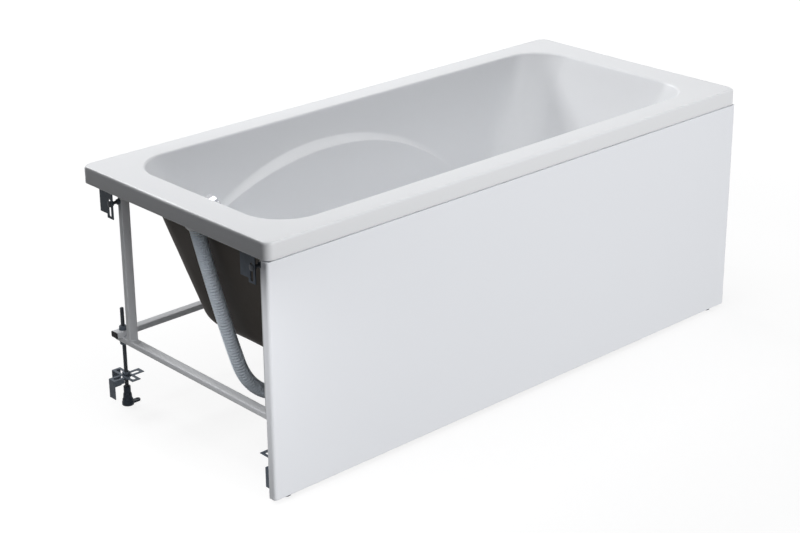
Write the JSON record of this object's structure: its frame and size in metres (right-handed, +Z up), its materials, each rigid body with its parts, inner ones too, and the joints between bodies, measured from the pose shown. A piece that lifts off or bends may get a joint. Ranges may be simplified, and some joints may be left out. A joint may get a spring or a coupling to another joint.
{
  "type": "bathtub",
  "caption": "White acrylic bathtub on a tubular steel frame with levelling legs, a front panel, a ribbed overflow hose, a turning overflow knob and a pop-up drain.",
  "frame": {"origin": "middle of the tub at floor level", "axes": "+X along the length, from the drain end to the backrest end; +Y from the front panel to the wall; +Z up"},
  "size_m": [1.6, 0.7, 0.63],
  "materials": {
    "white_acrylic": "gloss",
    "brown_resin": "satin, slightly uneven",
    "painted_frame": "light grey powder coat",
    "zinc_steel": "blue zinc plate",
    "black_plastic": "matt",
    "foot_plastic": "matt",
    "hose_plastic": "satin, ribbed",
    "chrome": "polished",
    "waste_plastic": "satin",
    "seal_rubber": "matt",
    "board_wood": "raw chipboard"
  },
  "bodies": {
    "tub_and_frame": {"back_left_post": "painted_frame", "back_long_tube": "painted_frame", "back_right_post": "painted_frame", "base_board": "board_wood", "board_screws": "zinc_steel", "cleanout_cap": "waste_plastic", "drain_body": "waste_plastic", "drain_flange": "chrome", "drain_gasket": "seal_rubber", "end_hangers": "zinc_steel", "frame_nuts": "zinc_steel", "frame_washers": "zinc_steel", "front_left_post": "painted_frame", "front_long_tube": "painted_frame", "front_panel": "white_acrylic", "front_right_post": "painted_frame", "hanger_bolts": "zinc_steel", "hanger_nuts": "zinc_steel", "hose_nut": "waste_plastic", "inner_cross_tubes": "painted_frame", "left_cross_tube": "painted_frame", "overflow_body": "waste_plastic", "overflow_cover": "chrome", "overflow_gasket": "seal_rubber", "overflow_hose": "hose_plastic", "panel_hangers": "zinc_steel", "resin_backing": "brown_resin", "right_cross_tube": "painted_frame", "rim_battens": "board_wood", "slip_nuts": "waste_plastic", "trap_bend": "waste_plastic", "tub_shell": "white_acrylic", "tube_end_caps": "black_plastic", "waste_outlet": "waste_plastic"},
    "front_left_leg": {"front_left_rod": "zinc_steel", "front_left_foot": "foot_plastic", "front_left_end_clip": "zinc_steel", "front_left_side_clip": "zinc_steel", "front_left_clip_nuts": "zinc_steel"},
    "front_right_leg": {"front_right_rod": "zinc_steel", "front_right_foot": "foot_plastic", "front_right_end_clip": "zinc_steel", "front_right_side_clip": "zinc_steel", "front_right_clip_nuts": "zinc_steel"},
    "back_left_leg": {"back_left_rod": "zinc_steel", "back_left_foot": "foot_plastic", "back_left_end_clip": "zinc_steel", "back_left_side_clip": "zinc_steel", "back_left_clip_nuts": "zinc_steel"},
    "back_right_leg": {"back_right_rod": "zinc_steel", "back_right_foot": "foot_plastic", "back_right_end_clip": "zinc_steel", "back_right_side_clip": "zinc_steel", "back_right_clip_nuts": "zinc_steel"},
    "overflow_handle": {"overflow_knob": "chrome"},
    "pop_up_plug": {"drain_plug": "chrome"}
  },
  "joints": [
    {"name": "front_left_leg_height", "type": "slide", "parent": "tub_and_frame", "child": "front_left_leg", "axis": [0, 0, 1], "range_m": [-0.03, 0.02]},
    {"name": "front_right_leg_height", "type": "slide", "parent": "tub_and_frame", "child": "front_right_leg", "axis": [0, 0, 1], "range_m": [-0.03, 0.02]},
    {"name": "back_left_leg_height", "type": "slide", "parent": "tub_and_frame", "child": "back_left_leg", "axis": [0, 0, 1], "range_m": [-0.03, 0.02]},
    {"name": "back_right_leg_height", "type": "slide", "parent": "tub_and_frame", "child": "back_right_leg", "axis": [0, 0, 1], "range_m": [-0.03, 0.02]},
    {"name": "overflow_turn", "type": "hinge", "parent": "tub_and_frame", "child": "overflow_handle", "pos_m": [-0.70105, 0, 0.584], "axis": [0.9511, 0, 0.309], "range_deg": [0, 90]},
    {"name": "plug_lift", "type": "slide", "parent": "tub_and_frame", "child": "pop_up_plug", "axis": [0, 0, 1], "range_m": [0, 0.012]}
  ],
  "couplings": [
    {"joint": "plug_lift", "follows": "overflow_turn", "m_per_rad": 0.0076}
  ]
}
